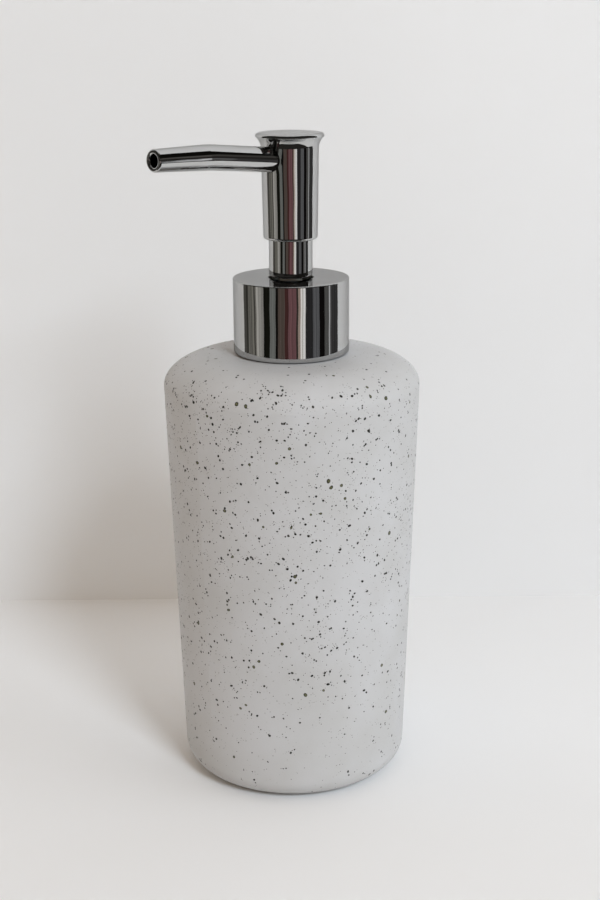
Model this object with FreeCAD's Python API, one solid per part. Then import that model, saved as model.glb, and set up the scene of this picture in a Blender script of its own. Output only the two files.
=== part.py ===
import FreeCAD, Part

import math
import os

from FreeCAD import Vector

os.makedirs("parts", exist_ok=True)

# Millimetres, +Z up. The origin is the centre of the resting face, on the axis of the bottle.
# The head is modelled with its spout along +X.

# Bottle: a tapered ceramic shell with a soft shoulder, a plain round mouth and a thin foot pad.
bottle_height = 127.6            # table to the plane where the shoulder round ends
shoulder_radius = 37.5           # side wall carried up to the shoulder plane
bottle_taper = 4.1               # how much slimmer the foot is than the shoulder
shoulder_round_width = 14.0
shoulder_round_height = 8.7
dome_rise = 0.5                  # from the shoulder round up to the land around the mouth
foot_round = 6.4
bottle_wall = 4.0
bottle_floor = 5.0
bottle_roof = 4.4
inner_corner = 5.0
pad_thickness = 1.4
pad_recess = 0.8
pad_margin = 1.2                 # foot flat left showing around the pad
pad_gap = 0.2

# Pump stem and what runs on it, worked outwards from the stem.
stem_radius = 3.2
stem_bore = 1.9
running_gap = 0.05               # radial gap of a part that slides or turns on another
seat_gap = 0.1                   # axial gap at a moving stop
fit_gap = 0.03                   # radial gap of parts pressed or snapped together
guide_wall = 1.35
well_gap = 0.7                   # guide tube to the bore of the sleeve
sleeve_wall = 0.94
sleeve_foot_round = 0.75
well_margin = 0.96               # sleeve to the wall of the well that it sinks into
chaplet_wall = 1.2
housing_wall = 1.1
neck_gap = 0.45                  # housing to the bore of the neck
neck_wall = 2.5
thread_height = 1.1
thread_root_gap = 0.3
closure_wall = 2.0
collar_wall = 0.8

# Heights around the neck and the collar.
neck_flange_thickness = 1.0
neck_flange_overhang = 2.3       # past the thread root
neck_height = 9.0                # above its flange
neck_plug_depth = 5.8
glue_gap = 0.2
thread_pitch = 4.233
thread_base = 1.8
thread_crest = 0.8
thread_flank_gap = 0.25
thread_sink = 0.25               # how deep a ridge is rooted in its wall
thread_start = 1.6               # middle of the ridge above the neck flange
neck_thread_turns = 1.4
cap_thread_turns = 1.15
gasket_thickness = 1.0
gasket_rim = 0.3                 # the gasket and flange stop this far inside the thread crest
flange_thickness = 1.3
collar_lift = 0.2                # collar edge above the land of the mouth
collar_height = 21.7
collar_roll_width = 1.35         # turned-in lower edge
collar_roll_height = 1.3
collar_hole_gap = 0.26
ledge_thickness = 1.6

# Press stroke and the parts that it sets.
press_stroke = 10.0
rest_gap = 1.0                   # head to collar when the head is fully down
sleeve_hidden = -0.3             # sleeve inside the collar when the head is up; it ends just above
well_spare = 4.8                 # well floor below the sleeve when the head is down
chaplet_floor = 1.5
guide_height = 8.5
chaplet_flange_thickness = 1.2
chaplet_flange_width = 1.2
skirt_spare = 2.0                # head core above the guide tube when the head is down

# Barrel, piston, spring, inlet valve and dip tube.
barrel_radius = 5.5
barrel_wall = 1.1
bead_width = 1.2
bead_height = 1.5
piston_play = 1.4
piston_length = 6.5
piston_lip = 1.2
piston_waist = 0.7
plug_flange = 1.9
plug_pilot_radius = 2.6
plug_pilot_length = 3.5
plug_shank_length = 4.0
plug_blade = 1.8
stem_slot_width = 1.4
stem_slot_height = 1.6
spring_wire = 0.9
spring_wire_flats = 8
spring_gap = 0.45                # spring to plug pilot
spring_pressed = 11.5            # length left for the spring when the head is down
spring_turns = 9
cage_height = 1.5
cage_bore = 1.6
cage_slot = 1.2
ball_radius = 2.0
ball_side_gap = 0.6
ball_chamber_height = 4.0
throat_radius = 1.2
throat_length = 1.4
ball_seat_gap = 0.03
dip_tube_radius = 2.5
dip_tube_bore = 1.75
socket_depth = 8.7
socket_wall = 1.25
tube_floor_gap = 2.5
tube_cut_angle = 40.0
vent_radius = 0.5

# Head: shell, core and spout.
head_height = 29.65
head_gap = 0.61                  # sleeve to the bore of the shell
head_wall = 0.9
head_widening = 0.42             # shell radius gained from its lower edge to the flare
head_foot_round = 0.85
head_lip_gap = 0.06
head_roof = 1.0
flare_height = 4.0
rim_overhang = 1.55              # rim past the side of the shell
rim_height = 0.95
rim_flat_inset = 1.0
sleeve_in_head = 10.0
stem_in_core = 1.3
core_channel = 1.9
snap_height = 0.3
snap_length = 1.0
snap_drop = 6.3                  # snap bead below the stem end
spout_drop = 7.75                # head top down to the spout axis, on the head axis
spout_radius = 3.45
spout_tip_radius = 3.0
spout_bore = 1.7
spout_tip_round = 0.55
spout_first_leg = 30.2
spout_second_leg = 19.0
spout_first_rise = 5.8           # degrees above level
spout_second_rise = 1.4
spout_bend_radius = 45.0
spout_inner_end = 2.3            # spout root from the head axis
spout_hole_gap = 0.12

# Radii that follow from the above.
guide_bore = stem_radius + running_gap
guide_radius = guide_bore + guide_wall
sleeve_bore = guide_radius + well_gap
sleeve_radius = sleeve_bore + sleeve_wall
well_radius = sleeve_radius + well_margin
chaplet_radius = well_radius + chaplet_wall
cup_bore = chaplet_radius + fit_gap
cup_radius = cup_bore + housing_wall
neck_bore = cup_radius + neck_gap
neck_root = neck_bore + neck_wall
neck_crest = neck_root + thread_height
neck_flange_radius = neck_root + neck_flange_overhang
mouth_radius = neck_root + glue_gap
cap_root = neck_crest + thread_root_gap
cap_crest = cap_root - thread_height
closure_radius = cap_root + closure_wall
collar_bore = closure_radius + fit_gap
collar_radius = collar_bore + collar_wall
flange_radius = neck_crest - gasket_rim
head_bore = sleeve_radius + head_gap
head_base_radius = head_bore + head_wall
barrel_outer = barrel_radius + barrel_wall
bead_radius = stem_radius + bead_width
spring_radius = plug_pilot_radius + spring_gap + spring_wire / 2
foot_radius = shoulder_radius - bottle_taper

# Heights that follow from the above.
foot_z = pad_thickness - pad_recess
floor_z = foot_z + bottle_floor
mouth_z = bottle_height + dome_rise
neck_flange_z = mouth_z + neck_flange_thickness
neck_top_z = neck_flange_z + neck_height
gasket_top_z = neck_top_z + gasket_thickness
flange_top_z = gasket_top_z + flange_thickness
ledge_z = flange_top_z + seat_gap
collar_low_z = mouth_z + collar_lift
collar_top_z = collar_low_z + collar_height
closure_low_z = collar_low_z + collar_roll_height + seat_gap
sleeve_low_z = collar_top_z - sleeve_hidden
well_z = sleeve_low_z - press_stroke - well_spare
chaplet_low_z = well_z - chaplet_floor
guide_top_z = well_z + guide_height
head_low_z = collar_top_z + rest_gap + press_stroke
head_top_z = head_low_z + head_height
core_z = head_low_z + sleeve_in_head
stem_top_z = core_z + stem_in_core
skirt_low_z = guide_top_z + press_stroke + skirt_spare
bead_top_z = chaplet_low_z - seat_gap
bead_low_z = bead_top_z - bead_height
piston_top_z = bead_low_z - piston_play
piston_low_z = piston_top_z - piston_length
stem_low_z = piston_low_z - seat_gap
plug_low_z = stem_low_z - plug_flange
cage_top_z = plug_low_z - press_stroke - spring_pressed
barrel_floor_z = cage_top_z - cage_height
seat_top_z = barrel_floor_z - ball_chamber_height
ball_chamber_radius = ball_radius + ball_side_gap
throat_top_z = seat_top_z - (ball_chamber_radius - throat_radius)
socket_top_z = throat_top_z - throat_length
socket_low_z = socket_top_z - socket_depth
tube_low_z = floor_z + tube_floor_gap
spout_z = head_top_z - spout_drop

# The cap's ridge lies just under the neck's ridge, as it does when the cap is tight.
flank_slope = (thread_base - thread_crest) / 2 / (thread_height + thread_sink)
ridge_widths = thread_base - flank_slope * (thread_height + thread_root_gap + 2 * thread_sink)
neck_thread_z = neck_flange_z + thread_start
cap_thread_z = neck_thread_z - ridge_widths - thread_flank_gap

up = Vector(0, 0, 1)
origin = Vector(0, 0, 0)


def rounded_edges(corners):
    """Edges of a closed outline in the XZ plane; a corner is (x, z) or (x, z, round)."""
    points = [Vector(corner[0], 0, corner[1]) for corner in corners]
    entries = []
    exits = []
    middles = []
    for i, here in enumerate(points):
        back = (points[i - 1] - here).normalize()
        ahead = (points[(i + 1) % len(points)] - here).normalize()
        radius = corners[i][2] if len(corners[i]) > 2 else 0
        half = back.getAngle(ahead) / 2
        reach = radius / math.tan(half)
        centre = here + (back + ahead).normalize() * (radius / math.sin(half)) if radius else here
        entries.append(here + back * reach)
        exits.append(here + ahead * reach)
        middles.append(centre + (here - centre).normalize() * radius if radius else None)
    edges = []
    for i, middle in enumerate(middles):
        if middle:
            edges.append(Part.Arc(entries[i], middle, exits[i]).toShape())
        edges.append(Part.makeLine(exits[i], entries[(i + 1) % len(entries)]))
    return edges


def spun(edges):
    """A closed run of edges in the XZ plane, turned about Z into a solid."""
    return Part.Face(Part.Wire(edges)).revolve(origin, up, 360)


def turned(corners):
    return spun(rounded_edges(corners))


def disc(radius, low, high):
    return Part.makeCylinder(radius, high - low, Vector(0, 0, low))


def tube(bore, radius, low, high):
    return disc(radius, low, high).cut(disc(bore, low, high))


def soft_corner(start, start_heading, end, end_heading):
    """A curve like a quarter ellipse that leaves and arrives along the two headings."""
    pull = 0.5523
    start = Vector(start[0], 0, start[1])
    end = Vector(end[0], 0, end[1])
    out = Vector(start_heading[0], 0, start_heading[1]).normalize()
    back = Vector(end_heading[0], 0, end_heading[1]).normalize()
    span = end - start
    turn = out.x * back.z - out.z * back.x
    out_reach = (span.x * back.z - span.z * back.x) / turn
    back_reach = (out.x * span.z - out.z * span.x) / turn
    curve = Part.BezierCurve()
    curve.setPoles([start, start + out * out_reach * pull, end - back * back_reach * pull, end])
    return curve.toShape()


def line(start, end):
    return Part.makeLine(Vector(start[0], 0, start[1]), Vector(end[0], 0, end[1]))


def thread(root, crest, low, turns, start_turn):
    """A trapezoidal ridge from root to crest, as a right-hand helix that begins at start_turn."""
    sink = -thread_sink if crest > root else thread_sink
    profile = Part.makePolygon([
        Vector(root + sink, 0, -thread_base / 2),
        Vector(crest, 0, -thread_crest / 2),
        Vector(crest, 0, thread_crest / 2),
        Vector(root + sink, 0, thread_base / 2),
        Vector(root + sink, 0, -thread_base / 2),
    ])
    helix = Part.makeHelix(thread_pitch, thread_pitch * turns, root)
    ridge = Part.Wire(helix.Edges).makePipeShell([profile], True, True)
    ridge.rotate(origin, up, 360 * start_turn)
    ridge.translate(Vector(0, 0, low + thread_pitch * start_turn))
    return ridge


def wall_radius(height):
    """Outer radius of the straight side wall at a height."""
    return foot_radius + bottle_taper * height / bottle_height


def bottle_body():
    side = (bottle_taper, bottle_height)
    land = neck_flange_radius + 0.4
    foot_start = (foot_radius - foot_round, foot_z)
    foot_end = (wall_radius(foot_z + foot_round), foot_z + foot_round)
    round_z = bottle_height - shoulder_round_height
    shoulder_start = (wall_radius(round_z), round_z)
    shoulder_end = (shoulder_radius - shoulder_round_width, bottle_height)
    dome = (land - shoulder_end[0], dome_rise)
    roof_z = mouth_z - bottle_roof
    roof_start_z = roof_z - shoulder_round_height
    inner_high = (wall_radius(roof_start_z) - bottle_wall, roof_start_z)
    roof_end = (shoulder_end[0], roof_z)
    inner_low_z = floor_z + inner_corner
    inner_low = (wall_radius(inner_low_z) - bottle_wall, inner_low_z)
    floor_end = (foot_radius - bottle_wall - inner_corner, floor_z)
    recess_radius = foot_radius - foot_round - pad_margin
    return spun([
        line((0, pad_thickness), (recess_radius, pad_thickness)),
        line((recess_radius, pad_thickness), (recess_radius, foot_z)),
        line((recess_radius, foot_z), foot_start),
        soft_corner(foot_start, (1, 0), foot_end, side),
        line(foot_end, shoulder_start),
        soft_corner(shoulder_start, side, shoulder_end, dome),
        line(shoulder_end, (land, mouth_z)),
        line((land, mouth_z), (mouth_radius, mouth_z)),
        line((mouth_radius, mouth_z), (mouth_radius, roof_z)),
        line((mouth_radius, roof_z), roof_end),
        soft_corner(roof_end, (1, 0), inner_high, (-bottle_taper, -bottle_height)),
        line(inner_high, inner_low),
        soft_corner(inner_low, (-bottle_taper, -bottle_height), floor_end, (-1, 0)),
        line(floor_end, (0, floor_z)),
        line((0, floor_z), (0, pad_thickness)),
    ])


def base_pad():
    radius = foot_radius - foot_round - pad_margin - pad_gap
    return turned([(0, 0), (radius, 0, 0.3), (radius, pad_thickness), (0, pad_thickness)])


def neck_insert():
    """Threaded neck whose plug is glued into the mouth of the bottle."""
    body = turned([
        (neck_bore, mouth_z - neck_plug_depth),
        (neck_root - 0.6, mouth_z - neck_plug_depth),
        (neck_root, mouth_z - neck_plug_depth + 1.2),
        (neck_root, mouth_z),
        (neck_flange_radius, mouth_z),
        (neck_flange_radius, neck_flange_z, 0.3),
        (neck_root, neck_flange_z),
        (neck_root, neck_top_z, 0.4),
        (neck_bore, neck_top_z, 0.4),
    ])
    return body.fuse(thread(neck_root, neck_crest, neck_thread_z, neck_thread_turns, 0))


def closure_cap():
    """Threaded liner that fills the collar and presses the pump flange onto the neck."""
    upper_bore = cap_root + 0.7
    lid_z = collar_top_z - collar_wall
    body = turned([
        (cap_root, closure_low_z, 0.5),
        (closure_radius, closure_low_z, 0.5),
        (closure_radius, lid_z),
        (upper_bore, lid_z),
        (upper_bore, ledge_z + ledge_thickness, 0.5),
        (chaplet_radius + chaplet_flange_width + 0.4, ledge_z + ledge_thickness),
        (chaplet_radius + chaplet_flange_width + 0.4, ledge_z),
        (cap_root, ledge_z),
    ])
    return body.fuse(thread(cap_root, cap_crest, cap_thread_z, cap_thread_turns, 0.5))


def collar_shell():
    roll_bore = collar_radius - collar_roll_width
    return turned([
        (roll_bore, collar_low_z, 0.4),
        (collar_radius, collar_low_z, 0.8),
        (collar_radius, collar_top_z, 0.35),
        (sleeve_radius + collar_hole_gap, collar_top_z, 0.15),
        (sleeve_radius + collar_hole_gap, collar_top_z - collar_wall),
        (collar_bore, collar_top_z - collar_wall),
        (collar_bore, collar_low_z + collar_roll_height),
        (roll_bore, collar_low_z + collar_roll_height, 0.4),
    ])


def neck_gasket():
    return tube(neck_bore, flange_radius, neck_top_z, gasket_top_z)


def pump_housing():
    """Flange, cup, barrel, valve seat and tube socket, turned in one outline."""
    socket_bore = dip_tube_radius
    socket_outer = socket_bore + socket_wall
    cup_low_z = chaplet_low_z - housing_wall
    body = turned([
        (socket_bore, socket_low_z),
        (socket_outer, socket_low_z, 0.3),
        (socket_outer, socket_top_z, 1.0),
        (barrel_outer, seat_top_z - 0.5, 1.0),
        (barrel_outer, cup_low_z),
        (cup_radius, cup_low_z, 0.6),
        (cup_radius, gasket_top_z),
        (flange_radius, gasket_top_z),
        (flange_radius, flange_top_z, 0.3),
        (cup_bore, flange_top_z),
        (cup_bore, chaplet_low_z),
        (barrel_radius, chaplet_low_z),
        (barrel_radius, barrel_floor_z),
        (ball_chamber_radius, barrel_floor_z),
        (ball_chamber_radius, seat_top_z),
        (throat_radius, throat_top_z),
        (throat_radius, socket_top_z),
        (socket_bore, socket_top_z),
    ])
    vent_z = (piston_top_z + bead_low_z) / 2
    vent = Part.makeCylinder(vent_radius, 2 * barrel_outer, Vector(0, 0, vent_z), Vector(0, 1, 0))
    return body.cut(vent)


def chaplet():
    """Lock ring of the housing: a guide tube for the stem in a well that takes the sleeve."""
    flange_edge = chaplet_radius + chaplet_flange_width
    return turned([
        (guide_bore, chaplet_low_z),
        (chaplet_radius, chaplet_low_z),
        (chaplet_radius, flange_top_z),
        (flange_edge, flange_top_z),
        (flange_edge, flange_top_z + chaplet_flange_thickness, 0.3),
        (well_radius, flange_top_z + chaplet_flange_thickness, 0.3),
        (well_radius, well_z),
        (guide_radius, well_z),
        (guide_radius, guide_top_z, 0.3),
        (guide_bore, guide_top_z, 0.3),
    ])


def dip_tube():
    """Plain tube with a slanted lower end, so that the floor can't close it."""
    full = tube(dip_tube_bore, dip_tube_radius, tube_low_z, socket_top_z)
    reach = 6 * dip_tube_radius
    wedge = Part.makeBox(reach, reach, reach, Vector(-reach / 2, -reach / 2, -reach))
    wedge.rotate(origin, Vector(0, 1, 0), tube_cut_angle)
    wedge.translate(Vector(0, 0, tube_low_z + dip_tube_radius * math.tan(math.radians(tube_cut_angle))))
    return full.cut(wedge)


def ball_cage():
    """Slotted ring that keeps the ball down and seats the spring."""
    ring = tube(cage_bore, barrel_radius - fit_gap, barrel_floor_z, cage_top_z)
    for quarter in range(2):
        slot = Part.makeBox(2 * ball_chamber_radius, cage_slot, cage_height,
                            Vector(-ball_chamber_radius, -cage_slot / 2, barrel_floor_z))
        slot.rotate(origin, up, 90 * quarter)
        ring = ring.cut(slot)
    return ring


def inlet_ball():
    # The ball touches a 45 degree seat, so its centre is root two radii above the cone's apex.
    apex_z = throat_top_z - throat_radius
    return Part.makeSphere(ball_radius, Vector(0, 0, apex_z + ball_radius * math.sqrt(2) + ball_seat_gap))


def return_spring():
    """Open coil. Its wire has flats in place of a round, with the round wire's section area."""
    low = cage_top_z + spring_wire / 2
    high = plug_low_z - spring_wire / 2
    step = 2 * math.pi / spring_wire_flats
    corner = spring_wire / 2 * math.sqrt(step / math.sin(step))
    angles = [step * (side + 0.5) for side in range(spring_wire_flats + 1)]
    section = Part.makePolygon([Vector(spring_radius + corner * math.cos(a), 0, corner * math.sin(a))
                                for a in angles])
    helix = Part.makeHelix((high - low) / spring_turns, high - low, spring_radius)
    coil = Part.Wire(helix.Edges).makePipeShell([section], True, True)
    coil.translate(Vector(0, 0, low))
    return coil


def pump_stem():
    snap_z = stem_top_z - snap_drop
    body = turned([
        (stem_bore, stem_low_z),
        (stem_radius, stem_low_z),
        (stem_radius, bead_low_z),
        (bead_radius, bead_low_z, 0.3),
        (bead_radius, bead_top_z, 0.3),
        (stem_radius, bead_top_z),
        (stem_radius, snap_z - snap_length / 2),
        (stem_radius + snap_height, snap_z - snap_length / 2 + snap_height),
        (stem_radius + snap_height, snap_z + snap_length / 2 - snap_height),
        (stem_radius, snap_z + snap_length / 2),
        (stem_radius, stem_top_z, 0.4),
        (stem_bore, stem_top_z),
    ])
    for quarter in range(2):
        slot = Part.makeBox(3 * stem_radius, stem_slot_width, stem_slot_height,
                            Vector(-1.5 * stem_radius, -stem_slot_width / 2, stem_low_z))
        slot.rotate(origin, up, 90 * quarter + 45)
        body = body.cut(slot)
    return body


def stem_plug():
    """Valve plug: a flange that the piston closes on, a bladed shank and a spring pilot."""
    flange = turned([
        (0, plug_low_z - plug_pilot_length),
        (plug_pilot_radius, plug_low_z - plug_pilot_length, 0.4),
        (plug_pilot_radius, plug_low_z),
        (bead_radius, plug_low_z, 0.2),
        (bead_radius, stem_low_z, 0.2),
        (0, stem_low_z),
    ])
    shank = disc(stem_bore - fit_gap, stem_low_z, stem_low_z + plug_shank_length)
    blade = Part.makeBox(2 * stem_bore, plug_blade, plug_shank_length,
                         Vector(-stem_bore, -plug_blade / 2, stem_low_z))
    return flange.fuse(shank.common(blade))


def piston():
    """Sleeve seal with a lip at each end, outside on the barrel and inside on the stem."""
    bore = stem_radius + running_gap
    relief = bore + 0.45
    wide = barrel_radius - running_gap
    waist = wide - piston_waist
    return turned([
        (bore, piston_low_z),
        (wide, piston_low_z),
        (wide, piston_low_z + piston_lip),
        (waist, piston_low_z + piston_lip + 0.5),
        (waist, piston_top_z - piston_lip - 0.5),
        (wide, piston_top_z - piston_lip),
        (wide, piston_top_z),
        (bore, piston_top_z),
        (bore, piston_top_z - piston_lip),
        (relief, piston_top_z - piston_lip - 0.5),
        (relief, piston_low_z + piston_lip + 0.5),
        (bore, piston_low_z + piston_lip),
    ])


def stem_sleeve():
    return turned([
        (sleeve_bore, sleeve_low_z, 0.15),
        (sleeve_radius, sleeve_low_z, sleeve_foot_round),
        (sleeve_radius, core_z),
        (sleeve_bore, core_z),
    ])


def shell_radius(height):
    """Outer radius of the head's side at a height."""
    flare_z = head_top_z - flare_height
    return head_base_radius + head_widening * (height - head_low_z) / (flare_z - head_low_z)


def spout_heading(rise):
    return Vector(math.cos(math.radians(rise)), 0, math.sin(math.radians(rise)))


def aimed(shape, start, heading):
    """A shape built along Z, moved to start and turned to point along heading."""
    shape.Placement = FreeCAD.Placement(start, FreeCAD.Rotation(up, heading))
    return shape


def head_shell():
    flare_z = head_top_z - flare_height
    side = shell_radius(flare_z)
    rim = side + rim_overhang
    rim_z = head_top_z - rim_height
    lip_bore = sleeve_radius + head_lip_gap
    foot = head_foot_round
    roof_z = head_top_z - head_roof
    lean = (head_widening, flare_z - head_low_z)
    edges = [
        line((lip_bore, head_low_z), (head_base_radius - foot, head_low_z)),
        soft_corner((head_base_radius - foot, head_low_z), (1, 0),
                    (shell_radius(head_low_z + foot), head_low_z + foot), lean),
        line((shell_radius(head_low_z + foot), head_low_z + foot), (side, flare_z)),
        soft_corner((side, flare_z), lean, (rim - 0.12, rim_z - 0.25), (1, 0.8)),
        soft_corner((rim - 0.12, rim_z - 0.25), (1, 0.8), (rim, rim_z), (0, 1)),
        soft_corner((rim, rim_z), (0, 1), (rim - rim_flat_inset, head_top_z), (-1, 0)),
        line((rim - rim_flat_inset, head_top_z), (0, head_top_z)),
        line((0, head_top_z), (0, roof_z)),
        line((0, roof_z), (shell_radius(roof_z) - head_wall, roof_z)),
        line((shell_radius(roof_z) - head_wall, roof_z), (head_bore, head_low_z + head_wall)),
        line((head_bore, head_low_z + head_wall), (lip_bore, head_low_z + head_wall)),
        line((lip_bore, head_low_z + head_wall), (lip_bore, head_low_z)),
    ]
    start = Vector(0, 0, spout_z)
    hole = Part.makeCylinder(spout_radius + spout_hole_gap, spout_first_leg)
    return spun(edges).cut(aimed(hole, start, spout_heading(spout_first_rise)))


def head_core():
    """Moulded insert: socket for the stem below, soap channel up to the spout's cross bore."""
    inset = head_wall + fit_gap
    snap_z = stem_top_z - snap_drop
    bore = stem_radius + running_gap
    roof_z = head_top_z - head_roof
    skirt_radius = sleeve_bore - fit_gap
    body = turned([
        (bore, skirt_low_z, 0.2),
        (skirt_radius, skirt_low_z, 0.4),
        (skirt_radius, core_z),
        (shell_radius(core_z) - inset, core_z),
        (shell_radius(roof_z) - inset, roof_z),
        (0, roof_z),
        (0, spout_z),
        (core_channel, spout_z),
        (core_channel, stem_top_z + seat_gap),
        (bore, stem_top_z + seat_gap),
        (bore, snap_z + snap_length / 2 + running_gap),
        (bore + snap_height, snap_z + snap_length / 2 - snap_height + running_gap),
        (bore + snap_height, snap_z - snap_length / 2 + snap_height - running_gap),
        (bore, snap_z - snap_length / 2 - running_gap),
    ])
    heading = spout_heading(spout_first_rise)
    start = Vector(0, 0, spout_z)
    passage = aimed(Part.makeCylinder(core_channel, spout_first_leg), start, heading)
    socket = aimed(Part.makeCylinder(spout_radius, spout_first_leg),
                   start + heading * spout_inner_end, heading)
    return body.cut(passage).cut(socket)


def spout_tube():
    """Two straight legs joined by a tangent bend; the second leg tapers to a rounded lip."""
    turn = math.radians(spout_first_rise - spout_second_rise)
    reach = spout_bend_radius * math.tan(turn / 2)
    first = spout_heading(spout_first_rise)
    second = spout_heading(spout_second_rise)
    corner = Vector(0, 0, spout_z) + first * spout_first_leg
    leg_one = spout_first_leg - reach - spout_inner_end
    leg_two = spout_second_leg - reach
    root = aimed(tube(spout_bore, spout_radius, 0, leg_one),
                 Vector(0, 0, spout_z) + first * spout_inner_end, first)
    tip = turned([
        (spout_bore, 0),
        (spout_radius, 0),
        (spout_tip_radius, leg_two, spout_tip_round),
        (spout_bore, leg_two, spout_tip_round),
    ])
    tip = aimed(tip, corner + second * reach, second)
    bend_start = corner - first * reach
    centre = bend_start + Vector(first.z, 0, -first.x) * spout_bend_radius
    ring = Part.Face(Part.Wire(Part.makeCircle(spout_radius, bend_start, first)))
    ring = ring.cut(Part.Face(Part.Wire(Part.makeCircle(spout_bore, bend_start, first))))
    bend = ring.revolve(centre, Vector(0, 1, 0), math.degrees(turn))
    return root.fuse(bend).fuse(tip).removeSplitter()


nodes = {
    "bottle_body": bottle_body,
    "base_pad": base_pad,
    "neck_insert": neck_insert,
    "neck_gasket": neck_gasket,
    "pump_housing": pump_housing,
    "chaplet": chaplet,
    "dip_tube": dip_tube,
    "ball_cage": ball_cage,
    "inlet_ball": inlet_ball,
    "return_spring": return_spring,
    "pump_stem": pump_stem,
    "stem_plug": stem_plug,
    "piston": piston,
    "closure_cap": closure_cap,
    "collar_shell": collar_shell,
    "stem_sleeve": stem_sleeve,
    "head_core": head_core,
    "head_shell": head_shell,
    "spout_tube": spout_tube,
}

for name, make in nodes.items():
    shape = make()
    if shape.ShapeType == "Compound" and len(shape.Solids) == 1:
        shape = shape.Solids[0]
    print(name, "volume", round(shape.Volume / 1000, 3), "cm3,", len(shape.Solids), "solid, valid",
          shape.isValid())
    shape.exportStep("parts/" + name + ".step")
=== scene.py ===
import math

import bmesh
import bpy
from mathutils import Matrix, Vector


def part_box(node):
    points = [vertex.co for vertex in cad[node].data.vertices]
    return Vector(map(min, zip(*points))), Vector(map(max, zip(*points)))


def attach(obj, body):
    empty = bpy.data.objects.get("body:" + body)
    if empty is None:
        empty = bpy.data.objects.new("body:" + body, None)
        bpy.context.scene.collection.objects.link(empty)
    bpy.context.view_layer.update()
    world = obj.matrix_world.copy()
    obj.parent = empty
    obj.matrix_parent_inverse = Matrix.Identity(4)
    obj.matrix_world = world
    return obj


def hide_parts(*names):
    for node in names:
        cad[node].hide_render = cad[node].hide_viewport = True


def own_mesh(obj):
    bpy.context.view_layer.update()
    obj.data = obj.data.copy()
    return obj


# A soap bottle with a press pump. The spout points along +X and sizes are in metres.
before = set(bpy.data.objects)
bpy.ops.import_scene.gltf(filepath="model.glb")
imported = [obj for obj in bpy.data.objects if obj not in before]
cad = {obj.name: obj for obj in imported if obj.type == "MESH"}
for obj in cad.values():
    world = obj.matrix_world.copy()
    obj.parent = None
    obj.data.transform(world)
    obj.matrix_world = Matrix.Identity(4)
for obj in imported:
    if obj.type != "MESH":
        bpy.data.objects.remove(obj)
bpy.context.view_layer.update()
scene = bpy.context.scene
scene.view_settings.view_transform = "Standard"
print("model loaded:", len(cad), "parts")

# The side of the bottle that is seen, and the lens it is seen through. Angles are in degrees.
viewpoint = {
    "bearing": 46.16,       # round from the spout's side
    "distance": 0.4297,
    "height": 0.226,
    "lookDown": 16.56,
    "turn": 0.30,
    "roll": -0.40,
    "lens": 60.56,
    "sensor": 36.0,
    "clip": (0.01, 20.0),
}


def fromView(right, back, height):
    # a place as the camera sees it: to its right of the bottle, behind the bottle, and up
    facing = math.radians(viewpoint["bearing"])
    side = facing + math.pi / 2
    return Vector((
        right * math.cos(side) - back * math.cos(facing),
        right * math.sin(side) - back * math.sin(facing),
        height,
    ))


def addObject(name, data):
    thing = bpy.data.objects.new(name, data)
    scene.collection.objects.link(thing)
    return thing


def makeCamera():
    data = bpy.data.cameras.new("frontCamera")
    data.lens = viewpoint["lens"]
    data.sensor_width = viewpoint["sensor"]
    data.clip_start, data.clip_end = viewpoint["clip"]
    camera = addObject("frontCamera", data)
    heading = viewpoint["bearing"] + 90 - viewpoint["turn"]
    camera.matrix_world = (
        Matrix.Translation(fromView(0, -viewpoint["distance"], viewpoint["height"]))
        @ Matrix.Rotation(math.radians(heading), 4, "Z")
        @ Matrix.Rotation(math.radians(90 - viewpoint["lookDown"]), 4, "X")
        @ Matrix.Rotation(math.radians(viewpoint["roll"]), 4, "Z")
    )
    scene.camera = camera


makeCamera()
print("camera placed")


def addNode(tree, kind, inputs=None, **settings):
    # inputs takes a value or another node's output for each socket
    node = tree.nodes.new(kind)
    for name, value in settings.items():
        setattr(node, name, value)
    for socket, value in (inputs or {}).items():
        if isinstance(value, bpy.types.NodeSocket):
            tree.links.new(value, node.inputs[socket])
        else:
            node.inputs[socket].default_value = value
    return node


def newFinish(name, **sockets):
    finish = bpy.data.materials.new(name)
    finish.use_nodes = True
    tree = finish.node_tree
    shader = tree.nodes["Principled BSDF"]
    for socket, value in sockets.items():
        shader.inputs[socket.replace("_", " ")].default_value = value
    return finish, tree, shader


def objectPlace(tree, stretch=(1, 1, 1)):
    place = addNode(tree, "ShaderNodeTexCoord")
    mapping = addNode(tree, "ShaderNodeMapping", {"Vector": place.outputs["Object"]})
    mapping.inputs["Scale"].default_value = stretch
    return mapping.outputs["Vector"]


def noise(tree, place, scale, detail=2.0, rough=0.5):
    return addNode(tree, "ShaderNodeTexNoise", {
        "Vector": place, "Scale": scale, "Detail": detail, "Roughness": rough,
    }).outputs["Fac"]


def remap(tree, value, low, high, toLow, toHigh):
    return addNode(tree, "ShaderNodeMapRange", {
        "Value": value, "From Min": low, "From Max": high, "To Min": toLow, "To Max": toHigh,
    }).outputs["Result"]


def blendColours(tree, amount, first, second):
    mix = addNode(tree, "ShaderNodeMix", data_type="RGBA")
    for socket, value in ((0, amount), (6, first), (7, second)):
        if isinstance(value, bpy.types.NodeSocket):
            tree.links.new(value, mix.inputs[socket])
        else:
            mix.inputs[socket].default_value = value
    return mix.outputs[2]


def maths(tree, operation, first, second=0.0):
    return addNode(tree, "ShaderNodeMath", {0: first, 1: second}, operation=operation).outputs[0]


def bump(tree, height, depth, under=None):
    node = addNode(tree, "ShaderNodeBump", {"Height": height, "Distance": depth, "Strength": 1.0})
    if under:
        tree.links.new(under, node.inputs["Normal"])
    return node.outputs["Normal"]


def rgb(red, green, blue):
    return (red, green, blue, 1.0)


# Where most of a noise's values lie, so a remap from it uses the whole of its new range.
noiseSpan = (0.3, 0.7)


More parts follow.
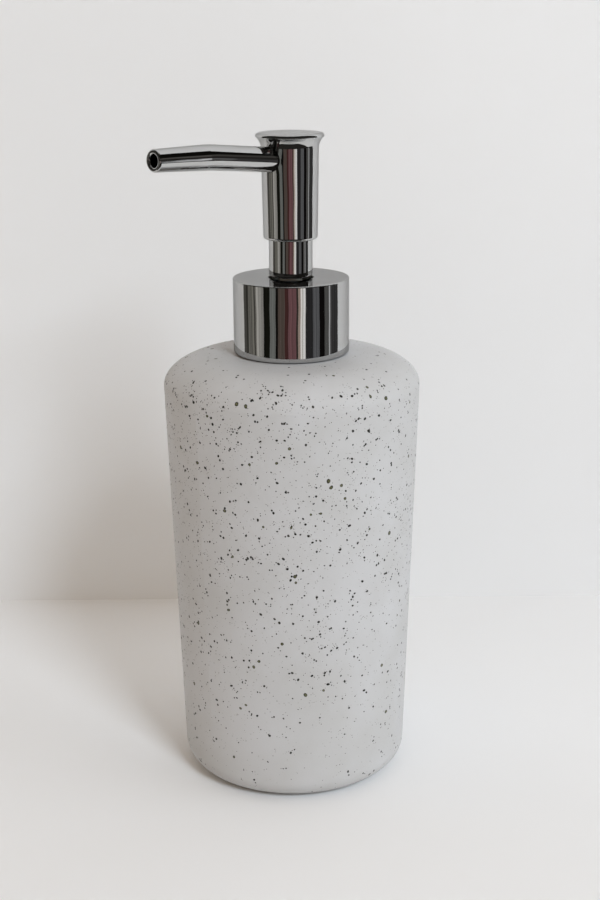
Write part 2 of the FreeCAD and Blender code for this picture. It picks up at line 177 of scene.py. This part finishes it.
# Matt stone-effect glaze: cloudy off-white, a fine grain and pin-prick dust.
ceramic = {
    "pale": rgb(0.540, 0.540, 0.545),
    "cloud": rgb(0.492, 0.488, 0.482),
    "cloudScale": 42.0,
    "cloudSpan": (0.36, 0.66),
    "dust": rgb(0.30, 0.285, 0.25),
    "dustCells": 1000.0,    # to the metre
    "dustSize": 0.15,       # of a cell
    "dustShare": 0.55,      # of the cells
    "dustAmount": 0.55,
    "grainScale": 1500.0,
    "grainDepth": 0.000018,
    "dimpleScale": 190.0,
    "dimpleDepth": 0.00006,
    "roughness": (0.50, 0.64),
}


def makeCeramic():
    finish, tree, shader = newFinish("speckledCeramic", IOR=1.47)
    place = objectPlace(tree)
    cloud = noise(tree, place, ceramic["cloudScale"], 3.0)
    grain = noise(tree, place, ceramic["grainScale"], 3.0, 0.6)
    body = blendColours(
        tree, remap(tree, cloud, *ceramic["cloudSpan"], 0, 1), ceramic["pale"], ceramic["cloud"])
    cells = addNode(tree, "ShaderNodeTexVoronoi", {"Vector": place, "Scale": ceramic["dustCells"]})
    chance = addNode(tree, "ShaderNodeSeparateColor", {"Color": cells.outputs["Color"]})
    size = remap(tree, chance.outputs["Red"], 1.0 - ceramic["dustShare"], 1.0, 0.0, ceramic["dustSize"])
    spot = maths(tree, "LESS_THAN", cells.outputs["Distance"], size)
    amount = maths(tree, "MULTIPLY", spot, ceramic["dustAmount"])
    tree.links.new(blendColours(tree, amount, body, ceramic["dust"]), shader.inputs["Base Color"])
    tree.links.new(remap(tree, grain, *noiseSpan, *ceramic["roughness"]), shader.inputs["Roughness"])
    dimples = bump(tree, noise(tree, place, ceramic["dimpleScale"], 2.0), ceramic["dimpleDepth"])
    tree.links.new(bump(tree, grain, ceramic["grainDepth"], dimples), shader.inputs["Normal"])
    return finish


# Bright chrome on moulded plastic: very smooth, with the slow ripple that moulding leaves.
chrome = {
    "colour": rgb(0.560, 0.563, 0.560),
    "edge": rgb(0.56, 0.56, 0.56),
    "roughness": (0.025, 0.060),
    "rippleScale": 62.0,
    "rippleStretch": (1.0, 1.0, 1.3),
    "rippleDepth": 0.00019,
    "hazeScale": 260.0,
    "hazeSpan": (0.35, 0.75),
}


def makeChrome():
    finish, tree, shader = newFinish(
        "chromePlate", Metallic=1.0, Base_Color=chrome["colour"], Specular_Tint=chrome["edge"])
    haze = noise(tree, objectPlace(tree), chrome["hazeScale"], 3.0)
    tree.links.new(remap(tree, haze, *chrome["hazeSpan"], *chrome["roughness"]), shader.inputs["Roughness"])
    ripple = noise(tree, objectPlace(tree, chrome["rippleStretch"]), chrome["rippleScale"], 1.0)
    tree.links.new(bump(tree, ripple, chrome["rippleDepth"]), shader.inputs["Normal"])
    return finish


driftSpan = (0.35, 0.65)

# The moulded and soft parts share one recipe: a colour that drifts a little, a grain and a bump.
plainLooks = {
    "whitePlastic": {"tones": (rgb(0.80, 0.80, 0.78), rgb(0.74, 0.74, 0.72)), "roughness": (0.34, 0.48),
                     "scale": 120.0, "grain": 900.0, "depth": 0.00001},
    "clearPlastic": {"tones": (rgb(0.93, 0.96, 0.96), rgb(0.88, 0.92, 0.92)), "roughness": (0.10, 0.20),
                     "scale": 90.0, "grain": 400.0, "depth": 0.00001, "clear": 0.85, "bend": 1.51},
    "softSeal": {"tones": (rgb(0.70, 0.69, 0.66), rgb(0.60, 0.59, 0.56)), "roughness": (0.62, 0.80),
                 "scale": 300.0, "grain": 2500.0, "depth": 0.00003},
    "padFoam": {"tones": (rgb(0.060, 0.058, 0.055), rgb(0.032, 0.031, 0.030)), "roughness": (0.85, 0.98),
                "scale": 400.0, "grain": 3000.0, "depth": 0.00008},
    "springSteel": {"tones": (rgb(0.56, 0.55, 0.53), rgb(0.44, 0.43, 0.41)), "roughness": (0.20, 0.38),
                    "scale": 500.0, "grain": 2000.0, "depth": 0.000004, "metal": 1.0},
    "valveGlass": {"tones": (rgb(0.93, 0.97, 0.95), rgb(0.90, 0.95, 0.93)), "roughness": (0.02, 0.06),
                   "scale": 600.0, "grain": 900.0, "depth": 0.000002, "clear": 1.0, "bend": 1.52},
}


def makePlainFinish(name):
    look = plainLooks[name]
    finish, tree, shader = newFinish(
        name, Metallic=look.get("metal", 0.0), IOR=look.get("bend", 1.49),
        Transmission_Weight=look.get("clear", 0.0))
    place = objectPlace(tree)
    drift = remap(tree, noise(tree, place, look["scale"], 3.0), *driftSpan, 0, 1)
    grain = noise(tree, place, look["grain"], 4.0, 0.6)
    tree.links.new(blendColours(tree, drift, *look["tones"]), shader.inputs["Base Color"])
    tree.links.new(remap(tree, grain, *noiseSpan, *look["roughness"]), shader.inputs["Roughness"])
    tree.links.new(bump(tree, grain, look["depth"]), shader.inputs["Normal"])
    return finish


finishes = {name: makePlainFinish(name) for name in plainLooks}
finishes["speckledCeramic"] = makeCeramic()
finishes["chromePlate"] = makeChrome()

wornBy = {
    "speckledCeramic": ["bottle_body"],
    "chromePlate": ["collar_shell", "stem_sleeve", "head_shell", "spout_tube"],
    "whitePlastic": ["neck_insert", "pump_housing", "chaplet", "ball_cage", "closure_cap",
                     "pump_stem", "stem_plug", "head_core"],
    "clearPlastic": ["dip_tube"],
    "softSeal": ["neck_gasket", "piston"],
    "padFoam": ["base_pad"],
    "springSteel": ["return_spring"],
    "valveGlass": ["inlet_ball"],
}
for name, parts in wornBy.items():
    for part in parts:
        for slot in cad[part].material_slots:
            slot.material = finishes[name]
print("finishes given to", sum(len(parts) for parts in wornBy.values()), "parts")


# Specks in the glaze. Each kind is a scatter of low button shapes, just proud of the surface.
speckKinds = {
    "fine_specks": {
        "perSquareMetre": 270000.0, "smallest": 0.00011, "largest": 0.00026, "skew": 1.35, "stretch": 0.5,
        "company": 0.22, "companySpread": 0.0011, "sides": 6, "rings": 1, "top": 0.0, "seed": 11,
        "middle": (rgb(0.020, 0.018, 0.014), rgb(0.090, 0.080, 0.064)), "edge": rgb(0.026, 0.022, 0.017),
    },
    "dark_specks": {
        "perSquareMetre": 80000.0, "smallest": 0.00018, "largest": 0.00042, "skew": 1.7, "stretch": 0.45,
        "company": 0.30, "companySpread": 0.0012, "sides": 10, "rings": 1, "top": 0.7, "seed": 5,
        "middle": (rgb(0.010, 0.009, 0.007), rgb(0.042, 0.036, 0.027)), "edge": rgb(0.010, 0.009, 0.007),
    },
    "olive_specks": {
        "perSquareMetre": 3600.0, "smallest": 0.00040, "largest": 0.00064, "skew": 1.6, "stretch": 0.28,
        "company": 0.12, "companySpread": 0.0022, "sides": 14, "rings": 2, "top": 0.7, "seed": 23,
        "middle": (rgb(0.095, 0.098, 0.045), rgb(0.150, 0.148, 0.080)), "edge": rgb(0.022, 0.019, 0.011),
    },
}
speckSpread = {
    "proud": 0.000012,
    "footFrom": 0.006,      # few near the foot, and all of them from footTo up
    "footTo": 0.060,
    "footShare": 0.30,
    "crownFrom": 0.1210,    # fewer on the shoulder
    "crownTo": 0.1268,
    "crownShare": 0.30,
    "patchScale": 75.0,     # they gather in patches
    "patchSpan": (0.36, 0.64),
    "patchShare": (0.45, 1.5),
    "thirdShare": 0.4,      # the chance of another neighbour, against that of the first
    "collarRadius": 0.0180,
    "wallRadius": 0.030,    # the side wall is outside this and faces outwards by wallFacing
    "wallFacing": 0.15,
    "crownLow": 0.118,      # the shoulder is above this and faces up by crownFacing
    "crownFacing": 0.3,
}
speckLook = {"rim": (0.42, 0.72), "grainScale": 4000.0, "roughness": (0.42, 0.62)}


def outerSkin():
    # the outside of the bottle alone, as the surface to scatter on
    mesh = cad["bottle_body"].data.copy()
    unseen = []
    for face in mesh.polygons:
        middle, normal = face.center, face.normal
        radius = math.hypot(middle.x, middle.y)
        outwards = (middle.x * normal.x + middle.y * normal.y) / max(radius, 1e-9)
        onWall = outwards > speckSpread["wallFacing"] and radius > speckSpread["wallRadius"]
        onCrown = (normal.z > speckSpread["crownFacing"] and middle.z > speckSpread["crownLow"]
                   and radius > speckSpread["collarRadius"])
        unseen.append(not (onWall or onCrown))
    form = bmesh.new()
    form.from_mesh(mesh)
    form.faces.ensure_lookup_table()
    bmesh.ops.delete(form, geom=[form.faces[i] for i, gone in enumerate(unseen) if gone], context="FACES")
    bmesh.ops.remove_doubles(form, verts=form.verts, dist=1e-7)
    skin = bpy.data.meshes.new("bottleSkin")
    form.to_mesh(skin)
    form.free()
    bpy.data.meshes.remove(mesh)
    return skin


def addInput(tree, name, kind, value=None):
    socket = tree.interface.new_socket(name=name, in_out="INPUT", socket_type="NodeSocket" + kind)
    if value is not None:
        socket.default_value = value


def randomValue(tree, low, high, seed):
    return addNode(tree, "FunctionNodeRandomValue", {2: low, 3: high, 8: seed}, data_type="FLOAT").outputs[1]


def speckTree():
    tree = bpy.data.node_groups.new("glazeSpecks", "GeometryNodeTree")
    addInput(tree, "Surface", "Geometry")
    for name in ("Per Square Metre", "Smallest", "Largest", "Skew", "Stretch", "Proud", "Top",
                 "Company", "Company Spread", "Foot From", "Foot To", "Foot Share",
                 "Crown From", "Crown To", "Crown Share", "Patch Scale", "Patch Least", "Patch Most"):
        addInput(tree, name, "Float", 0.0)
    for name in ("Sides", "Rings", "Seed"):
        addInput(tree, name, "Int", 1)
    addInput(tree, "Finish", "Material")
    tree.interface.new_socket(name="Specks", in_out="OUTPUT", socket_type="NodeSocketGeometry")
    given = addNode(tree, "NodeGroupInput").outputs

    def seedPlus(extra):
        return maths(tree, "ADD", given["Seed"], extra)

    # how many, by height and in patches
    spot = addNode(tree, "GeometryNodeInputPosition").outputs[0]
    height = addNode(tree, "ShaderNodeSeparateXYZ", {0: spot}).outputs["Z"]
    foot = remap(tree, height, given["Foot From"], given["Foot To"], given["Foot Share"], 1.0)
    crown = remap(tree, height, given["Crown From"], given["Crown To"], 1.0, given["Crown Share"])
    patches = remap(tree, noise(tree, spot, given["Patch Scale"], 2.0),
                    *speckSpread["patchSpan"], given["Patch Least"], given["Patch Most"])
    share = maths(tree, "MULTIPLY", maths(tree, "MULTIPLY", foot, crown), patches)
    density = maths(tree, "MULTIPLY", share, given["Per Square Metre"])
    points = addNode(tree, "GeometryNodeDistributePointsOnFaces", {
        "Mesh": given["Surface"], "Density": density, "Seed": given["Seed"]}, distribute_method="RANDOM")

    # some have one or two more close by
    company = given["Company"]
    crowd = maths(tree, "MULTIPLY", company, speckSpread["thirdShare"])
    second = maths(tree, "LESS_THAN", randomValue(tree, 0.0, 1.0, seedPlus(1)), company)
    third = maths(tree, "LESS_THAN", randomValue(tree, 0.0, 1.0, seedPlus(2)), crowd)
    copies = addNode(tree, "GeometryNodeDuplicateElements", {
        "Geometry": points.outputs["Points"],
        "Amount": maths(tree, "ADD", maths(tree, "ADD", 1.0, second), third)}, domain="POINT")
    drift = addNode(tree, "ShaderNodeCombineXYZ", {
        axis: maths(tree, "MULTIPLY", randomValue(tree, -1.0, 1.0, seedPlus(3 + i)), given["Company Spread"])
        for i, axis in enumerate("XYZ")})
    moved = addNode(tree, "GeometryNodeSetPosition", {
        "Geometry": copies.outputs["Geometry"],
        "Selection": maths(tree, "GREATER_THAN", copies.outputs["Duplicate Index"], 0.5),
        "Offset": drift.outputs[0]})
    nearest = addNode(tree, "GeometryNodeProximity", {0: given["Surface"]}, target_element="FACES")
    landed = addNode(tree, "GeometryNodeSetPosition", {
        "Geometry": moved.outputs[0], "Position": nearest.outputs["Position"]})

    # one button of unit radius, with how near its edge each point is
    button = addNode(tree, "GeometryNodeMeshCone", {
        "Vertices": given["Sides"], "Side Segments": 1, "Fill Segments": given["Rings"],
        "Radius Top": given["Top"], "Radius Bottom": 1.0, "Depth": 2.0}, fill_type="TRIANGLE_FAN")
    sunk = addNode(tree, "GeometryNodeTransform", {
        "Geometry": button.outputs["Mesh"], "Translation": (0, 0, -1)})
    flat = addNode(tree, "ShaderNodeVectorMath", {
        0: addNode(tree, "GeometryNodeInputPosition").outputs[0], 1: (1, 1, 0)}, operation="MULTIPLY")
    reach = addNode(tree, "ShaderNodeVectorMath", {0: flat.outputs[0]}, operation="LENGTH").outputs["Value"]
    edged = addNode(tree, "GeometryNodeStoreNamedAttribute", {
        "Geometry": sunk.outputs[0], "Name": "edge", "Value": reach}, data_type="FLOAT", domain="POINT")

    # size, turn and tilt of each
    pick = maths(tree, "POWER", randomValue(tree, 0.0, 1.0, seedPlus(7)), given["Skew"])
    size = remap(tree, pick, 0.0, 1.0, given["Smallest"], given["Largest"])
    stretch = maths(tree, "MULTIPLY", randomValue(tree, 0.0, 1.0, seedPlus(8)), given["Stretch"])
    longer = maths(tree, "ADD", 1.0, stretch)
    scale = addNode(tree, "ShaderNodeCombineXYZ", {
        "X": maths(tree, "MULTIPLY", size, longer), "Y": size, "Z": given["Proud"]})
    normal = addNode(tree, "GeometryNodeSampleNearestSurface", {
        "Mesh": given["Surface"], "Value": addNode(tree, "GeometryNodeInputNormal").outputs[0]},
        data_type="FLOAT_VECTOR")
    upright = addNode(tree, "FunctionNodeAlignRotationToVector", {
        "Vector": normal.outputs["Value"]}, axis="Z")
    spin = addNode(tree, "FunctionNodeAxisAngleToRotation", {
        "Axis": (0, 0, 1), "Angle": randomValue(tree, 0.0, 2 * math.pi, seedPlus(9))})
    turned = addNode(tree, "FunctionNodeRotateRotation", {
        "Rotation": upright.outputs[0], "Rotate By": spin.outputs[0]}, rotation_space="LOCAL")
    specks = addNode(tree, "GeometryNodeInstanceOnPoints", {
        "Points": landed.outputs[0], "Instance": edged.outputs[0], "Rotation": turned.outputs[0],
        "Scale": scale.outputs[0]})
    toned = addNode(tree, "GeometryNodeStoreNamedAttribute", {
        "Geometry": specks.outputs[0], "Name": "tone", "Value": randomValue(tree, 0.0, 1.0, seedPlus(10))},
        data_type="FLOAT", domain="INSTANCE")
    real = addNode(tree, "GeometryNodeRealizeInstances", {"Geometry": toned.outputs[0]})
    finished = addNode(tree, "GeometryNodeSetMaterial", {
        "Geometry": real.outputs[0], "Material": given["Finish"]})
    addNode(tree, "NodeGroupOutput", {0: finished.outputs[0]})
    return tree


def growFromTree(name, tree, values, startMesh):
    # runs the tree on startMesh and keeps what it makes as a plain mesh
    grower = addObject(name + "Grower", startMesh)
    modifier = grower.modifiers.new("tree", "NODES")
    modifier.node_group = tree
    items = tree.interface.items_tree
    sockets = {item.name: item.identifier for item in items if item.item_type == "SOCKET"}
    for label, value in values.items():
        modifier[sockets[label]] = value
    bpy.context.view_layer.update()
    depsgraph = bpy.context.evaluated_depsgraph_get()
    mesh = bpy.data.meshes.new_from_object(grower.evaluated_get(depsgraph), depsgraph=depsgraph)
    mesh.name = name
    grower.modifiers.remove(modifier)
    bpy.data.objects.remove(grower)
    return addObject(name, mesh)


def speckFinish(name, kind):
    finish, tree, shader = newFinish(name + "Finish", Roughness=0.5)
    tone = addNode(tree, "ShaderNodeAttribute", attribute_name="tone").outputs["Fac"]
    edge = addNode(tree, "ShaderNodeAttribute", attribute_name="edge").outputs["Fac"]
    middle = blendColours(tree, tone, *kind["middle"])
    rim = remap(tree, edge, *speckLook["rim"], 0.0, 1.0)
    tree.links.new(blendColours(tree, rim, middle, kind["edge"]), shader.inputs["Base Color"])
    grain = noise(tree, objectPlace(tree), speckLook["grainScale"], 2.0)
    tree.links.new(remap(tree, grain, *noiseSpan, *speckLook["roughness"]), shader.inputs["Roughness"])
    return finish


def scatterSpecks():
    tree = speckTree()
    for name, kind in speckKinds.items():
        specks = growFromTree(name, tree, {
            "Per Square Metre": kind["perSquareMetre"],
            "Smallest": kind["smallest"], "Largest": kind["largest"], "Skew": kind["skew"],
            "Stretch": kind["stretch"], "Proud": speckSpread["proud"], "Top": kind["top"],
            "Company": kind["company"], "Company Spread": kind["companySpread"],
            "Foot From": speckSpread["footFrom"], "Foot To": speckSpread["footTo"],
            "Foot Share": speckSpread["footShare"],
            "Crown From": speckSpread["crownFrom"], "Crown To": speckSpread["crownTo"],
            "Crown Share": speckSpread["crownShare"], "Patch Scale": speckSpread["patchScale"],
            "Patch Least": speckSpread["patchShare"][0], "Patch Most": speckSpread["patchShare"][1],
            "Sides": kind["sides"], "Rings": kind["rings"], "Seed": kind["seed"],
            "Finish": speckFinish(name, kind),
        }, outerSkin())
        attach(specks, "bottle")
        print(name, "has", len(specks.data.polygons), "faces")


scatterSpecks()


# Return spring of the pump, hidden in its housing.
spring = {
    "turns": 9.0,
    "wire": 0.00045,        # radius
    "restTurns": 1.0,       # closed turns at each end
    "pressed": 0.535,       # of its length, when the head is down
    "steps": 288,
    "sides": 12,
}


def springTree():
    tree = bpy.data.node_groups.new("returnSpring", "GeometryNodeTree")
    for name in ("Coil Radius", "Wire Radius", "Low", "High", "Turns", "End Share", "End Rise"):
        addInput(tree, name, "Float", 0.0)
    for name in ("Steps", "Sides"):
        addInput(tree, name, "Int", 1)
    addInput(tree, "Finish", "Material")
    tree.interface.new_socket(name="Spring", in_out="OUTPUT", socket_type="NodeSocketGeometry")
    given = addNode(tree, "NodeGroupInput").outputs
    axis = addNode(tree, "GeometryNodeCurvePrimitiveLine", {"Start": (0, 0, 0), "End": (0, 0, 1)})
    points = addNode(tree, "GeometryNodeResampleCurve", {"Curve": axis.outputs[0], "Count": given["Steps"]})
    along = addNode(tree, "GeometryNodeSplineParameter").outputs["Factor"]
    angle = maths(tree, "MULTIPLY", maths(tree, "MULTIPLY", along, given["Turns"]), 2 * math.pi)
    endShare, endRise = given["End Share"], given["End Rise"]
    upperStart = maths(tree, "SUBTRACT", 1.0, endShare)
    lower = remap(tree, along, 0.0, endShare, given["Low"], maths(tree, "ADD", given["Low"], endRise))
    wholeRise = maths(tree, "SUBTRACT", given["High"], given["Low"])
    middleRise = maths(tree, "SUBTRACT", wholeRise, maths(tree, "MULTIPLY", endRise, 2.0))
    middle = remap(tree, along, endShare, upperStart, 0.0, middleRise)
    upper = remap(tree, along, upperStart, 1.0, 0.0, endRise)
    height = maths(tree, "ADD", maths(tree, "ADD", lower, middle), upper)
    spot = addNode(tree, "ShaderNodeCombineXYZ", {
        "X": maths(tree, "MULTIPLY", maths(tree, "COSINE", angle), given["Coil Radius"]),
        "Y": maths(tree, "MULTIPLY", maths(tree, "SINE", angle), given["Coil Radius"]),
        "Z": height})
    coil = addNode(tree, "GeometryNodeSetPosition", {
        "Geometry": points.outputs[0], "Position": spot.outputs[0]})
    section = addNode(tree, "GeometryNodeCurvePrimitiveCircle", {
        "Resolution": given["Sides"], "Radius": given["Wire Radius"]})
    wire = addNode(tree, "GeometryNodeCurveToMesh", {
        "Curve": coil.outputs[0], "Profile Curve": section.outputs[0], "Fill Caps": True})
    smooth = addNode(tree, "GeometryNodeSetShadeSmooth", {"Geometry": wire.outputs[0]})
    real = addNode(tree, "GeometryNodeRealizeInstances", {"Geometry": smooth.outputs[0]})
    finished = addNode(tree, "GeometryNodeSetMaterial", {
        "Geometry": real.outputs[0], "Material": given["Finish"]})
    addNode(tree, "NodeGroupOutput", {0: finished.outputs[0]})
    return tree


def makeSpring():
    low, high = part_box("return_spring")
    wire = spring["wire"]
    coil = growFromTree("pump_spring", springTree(), {
        "Coil Radius": (high.x - low.x) / 2 - wire, "Wire Radius": wire,
        "Low": low.z + wire, "High": high.z - wire, "Turns": spring["turns"],
        "End Share": spring["restTurns"] / spring["turns"], "End Rise": 2 * wire * spring["restTurns"],
        "Steps": spring["steps"], "Sides": spring["sides"], "Finish": finishes["springSteel"],
    }, bpy.data.meshes.new("empty"))
    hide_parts("return_spring")
    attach(coil, "pump_unit")
    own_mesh(coil)
    print("spring wound:", len(coil.data.polygons), "faces")


makeSpring()


# Shelf against a wall, and the rest of the room as the chrome sees it.
room = {
    "paper": rgb(0.86, 0.86, 0.86),
    "wallPaint": rgb(0.81, 0.81, 0.81),
    "driftScale": 6.0,
    "drift": (0.97, 1.0),   # of the tone
    "floorReach": 3.0,
    "wallBack": 0.126,
    "wallFoot": -0.05,
    "wallLeft": -0.42,
    "wallRight": 0.52,
    "shelfRight": 0.44,
    "wallTop": 1.2,
    "shelfFront": -0.092,
    "shelfLift": 0.0001,    # above the floor
    "screenRadius": 1.5,
    "uneven": {"stretch": (1, 1, 0.03), "scale": 24.0, "detail": 4.0, "rough": 0.7, "share": (0.45, 1.50)},
    "sky": rgb(0.91, 0.745, 0.585),
    "skyStrength": 0.54,
    "skyInChrome": rgb(0.56, 0.56, 0.56),
}

# Upright bands that stand in for the near side of the room: the left edge in degrees, and the tone.
roomStripes = [
    (-107, (0.085, 0.080, 0.070)), (-99, (0.050, 0.047, 0.040)), (-92, (0.19, 0.18, 0.16)),
    (-86, (0.11, 0.105, 0.09)), (-84.5, (0.20, 0.19, 0.165)), (-78, (0.05, 0.045, 0.04)),
    (-75.5, (0.24, 0.225, 0.20)), (-72.5, (0.56, 0.54, 0.50)), (-68.5, (0.36, 0.345, 0.32)),
    (-56, (0.010, 0.010, 0.007)), (-43, (0.17, 0.175, 0.165)), (-31, (0.008, 0.007, 0.006)),
    (-26, (0.105, 0.080, 0.068)), (-12.7, (0.070, 0.028, 0.026)), (-6, (0.185, 0.092, 0.098)),
    (10, (0.045, 0.038, 0.032)), (13.4, (0.42, 0.33, 0.28)), (18, (0.90, 0.86, 0.82)),
    (22, (0.44, 0.42, 0.40)), (23, (0.98, 0.96, 0.94)), (28, (0.028, 0.027, 0.028)),
    (43, (0.135, 0.135, 0.142)), (57, (0.006, 0.005, 0.005)), (69, (0.105, 0.103, 0.100)),
    (79, (0.55, 0.55, 0.56)), (82, (0.13, 0.13, 0.13)), (85, (0.045, 0.044, 0.044)), (104, None),
]

# The same room from the ground up: from, to, tone. None is where the uprights stand.
roomLayers = [
    (-2.2, -0.28, (0.026, 0.024, 0.022)), (-0.28, 0.10, None), (0.10, 0.42, (0.026, 0.024, 0.022)),
    (0.42, 0.72, (0.085, 0.080, 0.074)), (0.72, 1.7, (0.006, 0.006, 0.005)),
    (1.7, 3.4, (0.036, 0.034, 0.032)), (3.4, 4.5, (0.50, 0.49, 0.48)),
]


def panel(name, corners, finish):
    mesh = bpy.data.meshes.new(name)
    mesh.from_pydata([fromView(*corner) for corner in corners], [], [(0, 1, 2, 3)])
    mesh.materials.append(finish)
    thing = addObject(name, mesh)
    return thing


def level(left, right, front, back, height):
    return [(left, front, height), (right, front, height), (right, back, height), (left, back, height)]


def hideFrom(thing, *rays):
    for ray in rays:
        setattr(thing, "visible_" + ray, False)


def paperFinish(name, tone, oneSided):
    finish, tree, shader = newFinish(name, Roughness=0.9)
    drift = remap(tree, noise(tree, objectPlace(tree), room["driftScale"], 2.0), *noiseSpan, *room["drift"])
    shade = addNode(tree, "ShaderNodeVectorMath", {0: tone[:3]}, operation="SCALE")
    tree.links.new(drift, shade.inputs["Scale"])
    tree.links.new(shade.outputs[0], shader.inputs["Base Color"])
    if oneSided:
        clear = addNode(tree, "ShaderNodeBsdfTransparent")
        side = addNode(tree, "ShaderNodeNewGeometry").outputs["Backfacing"]
        mix = addNode(tree, "ShaderNodeMixShader", {0: side, 1: shader.outputs[0], 2: clear.outputs[0]})
        tree.links.new(mix.outputs[0], tree.nodes["Material Output"].inputs["Surface"])
    return finish


def makeScreen():
    radius = room["screenRadius"]
    corners, faces, tones = [], [], []
    for low, high, layer in roomLayers:
        for (start, stripe), (end, _) in zip(roomStripes, roomStripes[1:]):
            first = len(corners)
            for angle, height in ((start, low), (end, low), (end, high), (start, high)):
                turn = math.radians(angle)
                corners.append(fromView(math.sin(turn) * radius, -math.cos(turn) * radius, height))
            faces.append((first, first + 1, first + 2, first + 3))
            tones += [(*(layer or stripe), 1.0)] * 4
    mesh = bpy.data.meshes.new("roomScreen")
    mesh.from_pydata(corners, [], faces)
    paint = mesh.color_attributes.new("tone", "FLOAT_COLOR", "CORNER")
    for corner, tone in zip(paint.data, tones):
        corner.color = tone
    finish = bpy.data.materials.new("roomScreenLight")
    finish.use_nodes = True
    tree = finish.node_tree
    tree.nodes.clear()
    tone = addNode(tree, "ShaderNodeAttribute", attribute_name="tone").outputs["Color"]
    uneven = room["uneven"]
    place = objectPlace(tree, uneven["stretch"])
    streaks = noise(tree, place, uneven["scale"], uneven["detail"], uneven["rough"])
    strength = remap(tree, streaks, *noiseSpan, *uneven["share"])
    glow = addNode(tree, "ShaderNodeEmission", {"Color": tone, "Strength": strength})
    addNode(tree, "ShaderNodeOutputMaterial", {"Surface": glow.outputs[0]})
    mesh.materials.append(finish)
    screen = addObject("roomScreen", mesh)
    hideFrom(screen, "camera", "diffuse", "transmission", "volume_scatter", "shadow")


def makeRoom():
    paper = paperFinish("shelfPaper", room["paper"], False)
    reach, foot, top = room["floorReach"], room["wallFoot"], room["wallTop"]
    left, right, back = room["wallLeft"], room["wallRight"], room["wallBack"]
    floor = panel("stageFloor", level(-reach, reach, -reach, reach, 0), paper)
    hideFrom(floor, "glossy")
    shelfCorners = level(left, room["shelfRight"], room["shelfFront"], back, room["shelfLift"])
    shelf = panel("shelfInChrome", shelfCorners, paper)
    hideFrom(shelf, "camera", "diffuse", "transmission", "shadow")
    panel("stageWall", [(left, back, foot), (right, back, foot), (right, back, top), (left, back, top)],
          paperFinish("wallPaint", room["wallPaint"], True))
    makeScreen()
    world = bpy.data.worlds.new("paleRoom")
    scene.world = world
    world.use_nodes = True
    tree = world.node_tree
    sky = tree.nodes["Background"]
    sky.inputs["Color"].default_value = room["sky"]
    sky.inputs["Strength"].default_value = room["skyStrength"]
    dim = addNode(tree, "ShaderNodeBackground", {"Color": room["skyInChrome"], "Strength": 1.0})
    glossy = addNode(tree, "ShaderNodeLightPath").outputs["Is Glossy Ray"]
    mix = addNode(tree, "ShaderNodeMixShader", {0: glossy, 1: sky.outputs[0], 2: dim.outputs[0]})
    tree.links.new(mix.outputs[0], tree.nodes["World Output"].inputs["Surface"])


# Soft lights, placed as the camera sees them: right, back, up.
softLights = {
    "windowLight": {
        "place": (0.84, -1.60, 1.34), "size": 0.62, "power": 26.0, "colour": (0.80, 0.90, 1.0)},
    "sideLight": {
        "place": (2.3, -0.5, 1.0), "size": 2.0, "power": 18.5, "colour": (0.80, 0.90, 1.0)},
}
lightAim = Vector((0, 0, 0.08))    # above the middle of the bottle


def makeLights():
    for name, look in softLights.items():
        data = bpy.data.lights.new(name, "AREA")
        data.shape = "DISK"
        data.size = look["size"]
        data.energy = look["power"]
        data.color = look["colour"]
        light = addObject(name, data)
        light.location = fromView(*look["place"])
        light.rotation_euler = (lightAim - light.location).to_track_quat("-Z", "Y").to_euler()
        hideFrom(light, "glossy", "camera")


makeRoom()
makeLights()
print("room and lights ready")
